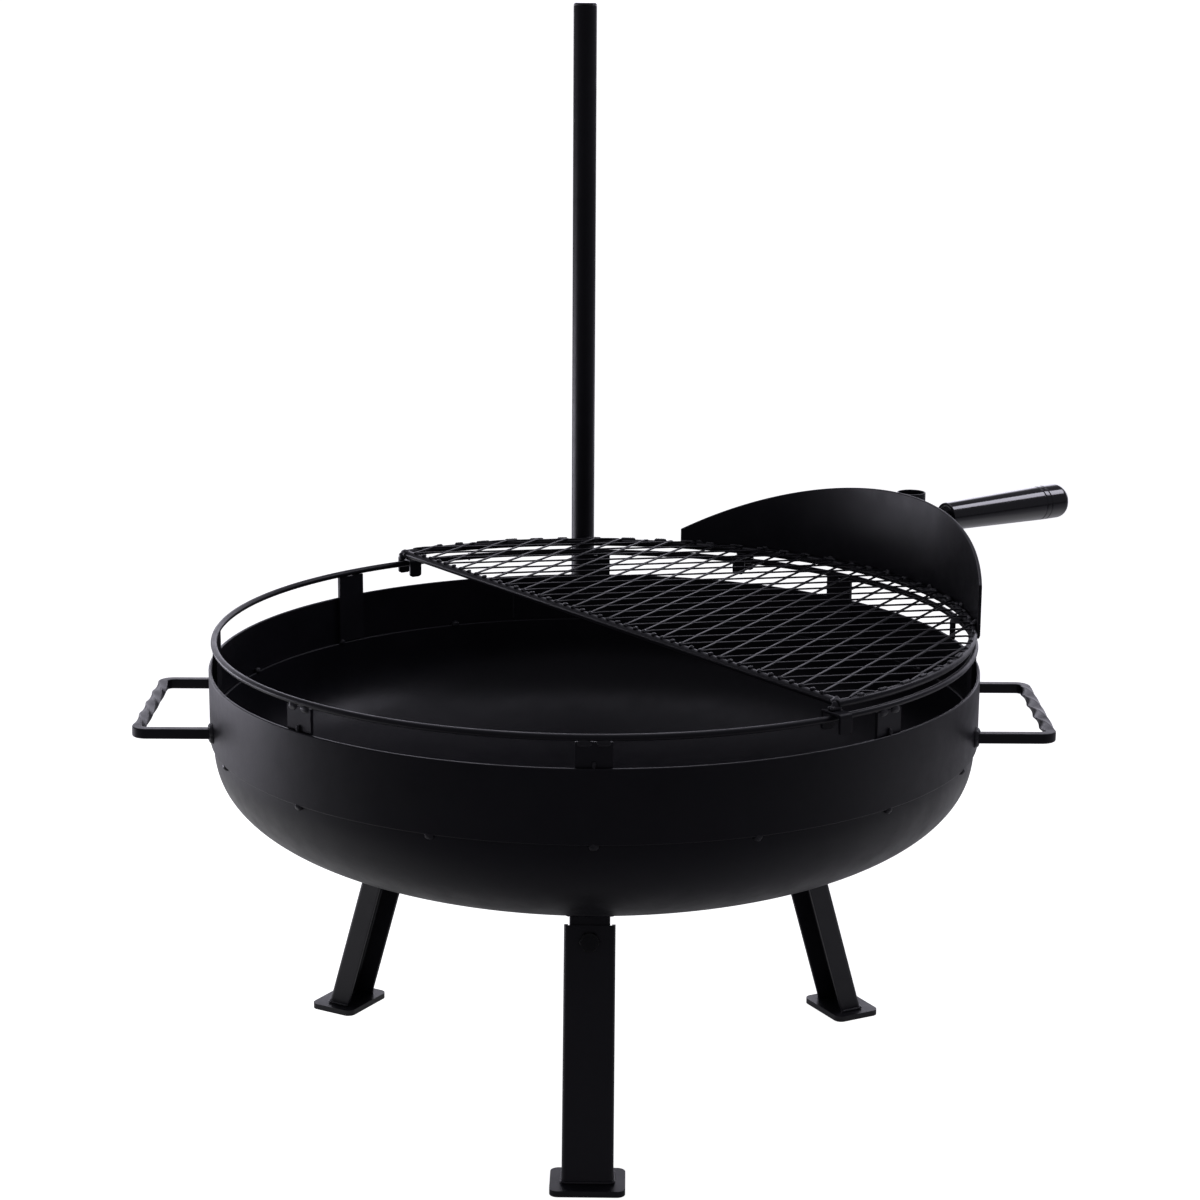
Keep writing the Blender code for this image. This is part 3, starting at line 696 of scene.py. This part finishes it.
def make_post():
    """Socket and its plate behind the band, and the tall tube with its cap."""
    plate_low, plate_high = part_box("socket_plate")
    socket_low, socket_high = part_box("post_socket")
    bottom, top = socket_low.z, socket_high.z
    radial = around(POST_ANGLE)
    thick, wide = 0.005, 0.050
    inner = BAND_R + GAP
    face = [(y, z) for y, z in rounded([(wide / 2, plate_low.z), (wide / 2, plate_high.z),
                                        (-wide / 2, plate_high.z), (-wide / 2, plate_low.z)], 0.004, 6)]
    plate = loft([[(x, y, z) for y, z in face] for x in (inner, inner + thick)])
    piece("socket_backing", soften(plate, 0.0008), radial, COAT, "firepit", ["socket_plate"])

    at = Matrix.Translation(POST_AXIS)
    profile = rounded([(SOCKET_R, bottom), (SOCKET_R, top), (SOCKET_BORE_R, top),
                       (SOCKET_BORE_R, bottom + SOCKET_FLOOR)], 0.0009)
    piece("turned_socket", turned(profile, 64, closed=False), at, COAT, "firepit", ["post_socket"])

    welds = bmesh.new()
    for side in (-1, 1):
        edge = side * (wide / 2 + 0.0006)
        wall = math.sqrt(BAND_R ** 2 - edge ** 2) + 0.0012
        beside_plate = [Vector((wall, edge, z)) for z in (plate_low.z + 0.004, plate_high.z - 0.004)]
        bead(welds, beside_plate, 0.0020, 31 + side)
        reach = (POST_AXIS - AXIS).length - SOCKET_R + 0.0012
        ends = (plate_low.z + 0.003, plate_high.z - 0.003)
        bead(welds, [Vector((reach, side * 0.0062, z)) for z in ends], 0.0024, 33 + side)
    piece("socket_welds", welds, radial, WELD_PAINTED_SHEEN, "firepit")

    low, tube_top = POST_LOW.z, POST_HIGH.z
    bore = POST_TUBE_R - POST_WALL
    tube = rounded([(POST_TUBE_R, low), (POST_TUBE_R, tube_top), (bore, tube_top), (bore, low)], 0.0005)
    piece("tall_post", turned(tube, 64), at, COAT, "post", ["post_tube"])
    plug = bore - GAP
    foot = tube_top - CAP_PLUG
    dome = [(plug - 0.0008, foot), (plug, foot + 0.0008), (plug, tube_top + GAP),
            (POST_TUBE_R - 0.0003, tube_top + GAP), (POST_TUBE_R, tube_top + 2 * GAP)]
    edge, steps = 0.0022, 8
    for i in range(steps + 1):
        a = math.pi / 2 * i / steps
        dome.append((POST_TUBE_R - edge + edge * math.cos(a), POST_TOP - edge + 0.0019 * math.sin(a)))
    dome += [(POST_TUBE_R * 0.5, POST_TOP - 0.0001), (0.0004, POST_TOP)]
    piece("domed_cap", turned(dome, 64, closed=False), at, GLOSS, "post", ["post_cap"])


# ---------------------------------------------------------------- grate

def make_rods():
    """Half-ring rod and the straight rod across it."""
    end = math.degrees(math.acos((CHORD_X - ROD) / ARC_R))
    steps = 160
    up = Vector((0, 0, 1))
    bend = [polar(ARC_R, end * (2 * i / steps - 1), ROD_Z) for i in range(steps + 1)]
    arc = bar(bend, circle(ROD, ROD_SIDES), up, ROD_END)
    piece("bent_arc_rod", arc, GRATE, COAT, "grate", ["arc_rod"])
    half = math.sqrt(ARC_R ** 2 - CHORD_X ** 2) - ROD - 2 * GAP
    steps = 40
    line = [Vector((CHORD_X, half * (2 * i / steps - 1), ROD_Z)) for i in range(steps + 1)]
    chord = bar(line, circle(ROD, ROD_SIDES), up, ROD_END)
    piece("straight_rod", chord, GRATE, COAT, "grate", ["chord_rod"])


def strand_path(row):
    """Zigzag of one strand of the expanded mesh, along +X, in fine steps.

    At each knuckle it lies beside the next strand, a little to one side and lower or higher.
    """
    side = STRAND * 0.36
    lift = STRAND / 2 * math.sin(STRAND_TILT)
    middle = ROD_Z + ROD + STRAND_THICK / 2 + lift
    corners = []
    for k in range(math.ceil(2 * MESH_R / MESH_LONG) + 2):
        upper = (k + row) % 2
        sign = 1 if upper else -1
        y = (row + 0.5 + sign * 0.5) * MESH_SHORT / 2 - sign * side
        x = CHORD_X + (k - 1) * MESH_LONG / 2
        z = middle - sign * lift
        corners += [Vector((x - BOND / 2, y, z)), Vector((x + BOND / 2, y, z))]
    points = []
    for a, b in zip(corners, corners[1:]):
        count = STRAND_STEPS if (b - a).length > 2 * BOND else BOND_STEPS
        for i in range(count):
            points.append(a.lerp(b, i / count))
    return points


def trimmed(points):
    """Stretches of a strand inside the half-moon, with their ends on its outline."""
    def inside(p):
        return p.x > CHORD_X - ROD / 2 and math.hypot(p.x, p.y) < MESH_R
    runs, run = [], []
    for a, b in zip(points, points[1:]):
        if inside(a) != inside(b):
            low, high = (a, b) if inside(a) else (b, a)
            for _ in range(24):
                middle = low.lerp(high, 0.5)
                low, high = (middle, high) if inside(middle) else (low, middle)
            if inside(a):
                runs.append(run + [a, low])
                run = []
            else:
                run = [low]
        elif inside(a):
            run.append(a)
    return [r for r in runs if (r[0] - r[-1]).length > 0.012]


def settle(run):
    """Drop the points too close to a run's ends, and lay the ends down over the rods."""
    kept = [run[0]]
    for point in run[1:]:
        if (point - kept[-1]).length > 0.0012:
            kept.append(point)
    kept[-1] = run[-1]
    for point in kept:
        edge = min(MESH_R - math.hypot(point.x, point.y), point.x - CHORD_X + ROD / 2)
        point.z -= 0.0012 * max(0, 1 - edge / 0.006) ** 2
    return kept


def make_mesh():
    """Expanded steel mesh: tilted strands that part and meet again at knuckles."""
    section = rounded(rectangle(STRAND, STRAND_THICK), 0.0005, 2)
    c, s = math.cos(STRAND_TILT), math.sin(STRAND_TILT)
    tilted = [(c * a + s * b, -s * a + c * b) for a, b in section]
    solid = bmesh.new()
    rows = math.ceil(2 * MESH_R / MESH_SHORT)
    for row in range(-rows, rows + 1):
        for run in trimmed(strand_path(row)):
            path = settle([p.copy() for p in run])
            if len(path) > 3:
                bar(path, tilted, Vector((0, 0, 1)), 0.0007, solid)
    piece("expanded_mesh", solid, GRATE, COAT, "grate", ["grate_mesh"])


def make_mesh_welds():
    """Welds of the mesh on its rods: small knuckles along the chord and smears along the arc."""
    solid = bmesh.new()
    top = ROD_Z + ROD
    reach = math.floor((ARC_R - 0.012) / (MESH_SHORT / 2))
    for k in range(-reach, reach + 1):
        y = k * MESH_SHORT / 2 + (0.0007 if k % 2 else -0.0005)
        place = Matrix.Translation((CHORD_X - 0.0002, y, top + 0.0006))
        tack(solid, place, (0.0030, 0.0021, 0.0017), k + 50)
    rng = random.Random(21)
    turn = -86.0
    while turn < 86:
        long = rng.uniform(1.1, 2.6)
        path = [polar(ARC_R + 0.0003, turn + long * t / 4, top - 0.0002) for t in range(5)]
        bead(solid, path, rng.uniform(0.0019, 0.0025), round(turn * 10))
        turn += long + rng.uniform(2.0, 3.4)
    piece("mesh_welds", solid, GRATE, WELD_PAINTED_SHEEN, "grate")


def make_hooks():
    """Strips bent over the rail, and the welds that hold them under the rods."""
    under = RAIL_Z + RAIL_WIRE + GAP
    top = under + HOOK_STRIP
    low = top - HOOK_DROP
    bend, steps = 0.0030, 8
    half = HOOK_STRIP / 2
    line = []
    corner_x, corner_z = HOOK_SPAN - (bend - half), top - bend
    drop = 14
    for i in range(drop):
        line.append((HOOK_SPAN, low + (corner_z - low) * i / drop))
    for i in range(steps + 1):
        a = math.pi / 2 * i / steps
        line.append((corner_x + (bend - half) * math.cos(a), corner_z + (bend - half) * math.sin(a)))
    line += [(corner_x / 2, top - half), (0, top - half)]
    line += [(-x, z) for x, z in reversed(line[:-1])]
    path = [Vector((RAIL_R + x, 0, z)) for x, z in line]
    end_round = 0.0032
    sections = []
    for point in path:
        up = min(end_round, max(0, point.z - low))
        narrow = 2 * (end_round - math.sqrt(end_round ** 2 - (end_round - up) ** 2)) * 0.9
        sections.append(rounded(rectangle(HOOK_STRIP, HOOK_WIDTH - narrow), 0.0006, 3))
    for i, turn in enumerate(HOOK_ANGLES):
        strip = sweep(path, sections, Vector((0, 1, 0)))
        place = GRATE @ turned_by(turn)
        welds = bmesh.new()
        middle = (top + ROD_Z - ROD) / 2
        for side in (-1, 1):
            path_under = [Vector((ARC_R + side * 0.0016, y, middle + 0.0010)) for y in (-0.0062, 0.0062)]
            bead(welds, path_under, 0.0023, 60 + 2 * i + side)
        piece(f"saddle_hook_{i + 1}", strip, place, COAT, "grate", [f"rail_hook_{i + 1}"], sharp=60)
        piece(f"hook_welds_{i + 1}", welds, place, WELD_PAINTED_SHEEN, "grate")


def make_corner_welds():
    """Where the two rods meet, at both ends of the chord."""
    solid = bmesh.new()
    for side in (-1, 1):
        y = side * (math.sqrt(ARC_R ** 2 - CHORD_X ** 2) - ROD)
        above = Matrix.Translation((CHORD_X - 0.0010, y, ROD_Z + 0.0006))
        tack(solid, above, (0.0050, 0.0052, 0.0047), 5 + side)
        below = Matrix.Translation((CHORD_X - 0.0040, y + side * 0.0030, ROD_Z - 0.0020))
        tack(solid, below, (0.0040, 0.0042, 0.0048), 9 + side)
    piece("rod_corner_welds", solid, GRATE, WELD_PAINTED_SHEEN, "grate")


def make_shield():
    """Curved heat shield with a crowned top edge, tacked to the arc rod."""
    inner = ARC_R + ROD + GAP
    outer = inner + SHEET
    bottom = ROD_Z - ROD
    steps, levels, edge = 120, 10, 0.0011
    rings = []
    for i in range(steps + 1):
        a = math.radians(SHIELD_FROM + (SHIELD_TO - SHIELD_FROM) * i / steps)
        aside = outer * (a - math.radians(SHIELD_PEAK))
        height = SHIELD_TOP - SHIELD_CROWN + math.sqrt(SHIELD_CROWN ** 2 - aside ** 2)
        section = rounded([(inner, bottom), (outer, bottom), (outer, height), (inner, height)], edge, 3)
        rings.append([Vector((r * math.cos(a), r * math.sin(a), z)) for r, z in section])
    solid = soften(loft(rings), edge)
    upright = [e for e in solid.edges if abs(e.verts[0].co.z - e.verts[1].co.z) > 0.010]
    bmesh.ops.subdivide_edges(solid, edges=upright, cuts=levels, use_grid_fill=True)
    piece("crowned_shield", solid, GRATE, COAT, "grate", ["heat_shield"])

    welds = bmesh.new()
    for k, turn in enumerate(SHIELD_TACKS):
        face = turned_by(turn)
        inside = face @ Matrix.Translation((inner - 0.0010, 0, ROD_Z + ROD * 0.9))
        tack(welds, inside, (0.0023, 0.0042, 0.0034), k + 70)
        below = face @ Matrix.Translation((inner + 0.0002, 0, ROD_Z - ROD * 0.8))
        tack(welds, below, (0.0022, 0.0040, 0.0020), k + 80)
    piece("shield_welds", welds, GRATE, WELD_PAINTED_SHEEN, "grate")
    return outer


def make_collar(shield_face):
    """Collar for the post, its bracket on the shield, and the stem of the grip."""
    low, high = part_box("post_collar")
    wall = [(COLLAR_R, low.z), (COLLAR_R, high.z), (COLLAR_BORE_R, high.z), (COLLAR_BORE_R, low.z)]
    place = GRATE @ Matrix.Translation((COLLAR_X, 0, 0))
    piece("turned_collar", turned(rounded(wall, 0.0004, 3), 64), place, COAT, "grate", ["post_collar"])

    bracket_low, bracket_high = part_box("collar_bracket")
    start, end, half = shield_face + GAP, COLLAR_X - COLLAR_R - GAP, 0.0025
    outline = [(end, -half), (end, half), (start, half), (start, -half)]
    plate = slab(outline, bracket_low.z, bracket_high.z, 0.0008)
    piece("bracket_plate", plate, GRATE, COAT, "grate", ["collar_bracket"])

    first = COLLAR_X + COLLAR_R + GAP
    steps = 6
    line = [Vector((first + (STEM_END - first) * i / steps, 0, GRIP_Z)) for i in range(steps + 1)]
    stem = bar(line, circle(STEM_R, 32), Vector((0, 0, 1)), 0.0008)
    piece("round_stem", stem, GRATE, COAT, "grate", ["grip_stem"])

    welds = bmesh.new()
    for side in (-1, 1):
        ends = (bracket_low.z + 0.002, bracket_high.z - 0.002)
        bead(welds, [Vector((start + 0.0004, side * (half + 0.0006), z)) for z in ends], 0.0018, 100 + side)
        bead(welds, [Vector((end - 0.0006, side * (half + 0.0008), z)) for z in ends], 0.0019, 103 + side)
    ring = []
    for y, z in circle(STEM_R + 0.0006, 24):
        ring.append(Vector((COLLAR_X + math.sqrt(COLLAR_R ** 2 - y ** 2) + 0.0006, y, GRIP_Z + z)))
    bead(welds, ring, 0.0017, 106, closed=True)
    piece("collar_welds", welds, GRATE, WELD_PAINTED_SHEEN, "grate")


def make_grip():
    """Tapered glossy grip with two fine grooves near its domed end."""
    taper = GRIP_END - GRIP_GROOVES[0] - GRIP_START

    def radius_at(x):
        return GRIP_R_IN + (GRIP_R_OUT - GRIP_R_IN) * (x - GRIP_START) / taper

    bore, lip, recess = STEM_R + GAP, 0.0014, 0.0022
    profile = [(bore, STEM_END + GAP), (bore, GRIP_START + recess), (GRIP_R_IN - 0.0042, GRIP_START + recess),
               (GRIP_R_IN - 0.0034, GRIP_START + 0.0003), (GRIP_R_IN - 0.0026, GRIP_START)]
    steps = 5
    for i in range(steps + 1):
        a = math.pi / 2 * i / steps
        profile.append((GRIP_R_IN - lip + lip * math.sin(a), GRIP_START + lip - lip * math.cos(a)))
    groove_half, groove_deep, steps = 0.0011, 0.0007, 4
    for distance in sorted(GRIP_GROOVES, reverse=True):
        x = GRIP_END - distance
        for k in range(-steps, steps + 1):
            depth = groove_deep * math.cos(math.pi / 2 * k / steps) ** 2
            at = x + groove_half * k / steps
            profile.append((min(radius_at(at), GRIP_R_OUT) - depth, at))
    steps = 12
    for i in range(steps + 1):
        a = math.pi / 2 * i / steps
        profile.append((GRIP_R_OUT - GRIP_DOME + GRIP_DOME * math.cos(a),
                        GRIP_END - GRIP_DOME + GRIP_DOME * math.sin(a)))
    profile.append((0.0006, GRIP_END))
    rings = [[(x, r * u, GRIP_Z + r * v) for u, v in circle(1, 72)] for r, x in profile]
    piece("tapered_grip", loft(rings), GRATE, GLOSS, "grate", ["grip"], sharp=60)


# ---------------------------------------------------------------- studio

def make_floor():
    """Plain pale floor: it looks bright, and bounces a softer light."""
    mesh = bpy.data.meshes.new("floor")
    size, drop = 120, -0.0004
    corners = [(x * size, y * size, drop) for x, y in ((-1, -1), (1, -1), (1, 1), (-1, 1))]
    mesh.from_pydata(corners, [], [(0, 1, 2, 3)])
    floor = bpy.data.objects.new("floor", mesh)
    bpy.context.collection.objects.link(floor)
    material = bpy.data.materials.new("pale_floor")
    material.use_nodes = True
    tree = material.node_tree
    shader = tree.nodes["Principled BSDF"]
    place = tree.nodes.new("ShaderNodeTexCoord").outputs["Object"]
    shade = ranged(tree, noise_node(tree, place, 3, 2), 0.3, 0.7, 0, 1)
    split = tree.nodes.new("ShaderNodeSeparateXYZ")
    wire(tree, place, split.inputs["Vector"])
    away = ranged(tree, split.outputs["Y"], -1.2, -0.3, 0, 1)
    near = mixed(tree, shade, (0.60, 0.60, 0.60), (0.64, 0.64, 0.64))
    wire(tree, mixed(tree, away, (0.28, 0.28, 0.28), near), shader.inputs["Base Color"])
    shader.inputs["Roughness"].default_value = 0.9
    shader.inputs["Specular IOR Level"].default_value = 0.1
    shader.inputs["Emission Color"].default_value = (1, 1, 1, 1)
    seen = tree.nodes.new("ShaderNodeLightPath").outputs["Is Camera Ray"]
    squares = [calculated(tree, "POWER", split.outputs[name], 2) for name in ("X", "Y")]
    radius = calculated(tree, "POWER", calculated(tree, "ADD", *squares), 0.5)
    below, beside_right, beside_left = FLOOR_BOUNCE
    left = ranged(tree, split.outputs["X"], -0.70, -0.10, beside_left, below)
    right = ranged(tree, split.outputs["X"], 0.25, 0.80, below, beside_right)
    bounce = calculated(tree, "MAXIMUM", left, right)
    bounce = calculated(tree, "MULTIPLY", bounce, ranged(tree, split.outputs["Y"], -0.7, 0.0, 0, 1))
    bounce = calculated(tree, "MULTIPLY", bounce, ranged(tree, radius, 1.0, 1.5, 1, 0))
    glow = calculated(tree, "ADD", bounce, ranged(tree, seen, 0, 1, 0, FLOOR_GLOW))
    wire(tree, glow, shader.inputs["Emission Strength"])
    mesh.materials.append(material)


def make_world():
    """White studio: white to the camera, and as a light a bright low backdrop behind the object only."""
    world = bpy.data.worlds.new("studio")
    bpy.context.scene.world = world
    world.use_nodes = True
    tree = world.node_tree
    background = tree.nodes["Background"]
    direction = tree.nodes.new("ShaderNodeTexCoord").outputs["Generated"]
    split = tree.nodes.new("ShaderNodeSeparateXYZ")
    wire(tree, direction, split.inputs["Vector"])
    behind = ranged(tree, split.outputs["Y"], 0.55, 0.95, 0, 1)
    low = ranged(tree, split.outputs["Z"], 0.27, 0.54, 1, 0)
    light = ranged(tree, calculated(tree, "MULTIPLY", behind, low), 0, 1, WORLD_DIM, WORLD_BACK)
    seen = tree.nodes.new("ShaderNodeLightPath").outputs["Is Camera Ray"]
    wire(tree, mixed(tree, seen, COOL, (1, 1, 1)), background.inputs["Color"])
    strength = tree.nodes.new("ShaderNodeMix")
    strength.data_type = "FLOAT"
    strength.inputs["B"].default_value = 1.0
    wire(tree, seen, strength.inputs["Factor"])
    wire(tree, light, strength.inputs["A"])
    wire(tree, strength.outputs["Result"], background.inputs["Strength"])


def softbox(name, place, target, width, height, watts):
    """Rectangular soft light aimed at a point."""
    data = bpy.data.lights.new(name, "AREA")
    data.shape = "RECTANGLE"
    data.size, data.size_y, data.energy, data.color = width, height, watts, COOL
    lamp = bpy.data.objects.new(name, data)
    lamp.location = AXIS + Vector(place)
    aim = AXIS + Vector(target) - lamp.location
    lamp.rotation_euler = aim.to_track_quat("-Z", "Y").to_euler()
    bpy.context.collection.objects.link(lamp)


def make_lights():
    """Low softboxes at both sides, one overhead, and one for the grip."""
    softbox("left_softbox", (-1.95, 1.00, 0.18), BOWL_MIDDLE, 1.8, 0.34, 8)
    softbox("right_softbox", (1.4, 2.0, 0.18), BOWL_MIDDLE, 1.2, 0.34, 1.1)
    softbox("top_softbox", (0, 0.8, 2.6), BOWL_MIDDLE, 2.4, 1.6, 8)
    softbox("grip_softbox", (1.75, 0.75, 1.95), (0.45, 0.35, 0.5), 0.7, 0.7, 6)


def make_camera():
    """Long lens in front of the grill, a little above it."""
    data = bpy.data.cameras.new("camera")
    data.sensor_width = SENSOR
    data.lens = CAMERA_LENS
    camera = bpy.data.objects.new("camera", data)
    aim = Matrix.Rotation(-CAMERA_YAW, 4, "Z") @ Matrix.Rotation(math.pi / 2 - CAMERA_PITCH, 4, "X")
    turn = aim @ Matrix.Rotation(CAMERA_ROLL, 4, "Z")
    camera.matrix_world = Matrix.Translation(AXIS + Vector(CAMERA_AT)) @ turn
    bpy.context.collection.objects.link(camera)
    bpy.context.scene.camera = camera


# ---------------------------------------------------------------- assembly

make_camera()
make_bowl()
make_bowl_welds()
make_rail()
make_handles()
for leg_name, leg_turn in LEG_ANGLES.items():
    make_leg(leg_name, leg_turn)
    make_bolt(leg_name, leg_turn)
make_post()
make_rods()
make_mesh()
make_mesh_welds()
make_hooks()
make_corner_welds()
make_collar(make_shield())
make_grip()
make_floor()
make_world()
make_lights()
bpy.context.scene.view_settings.view_transform = "Standard"
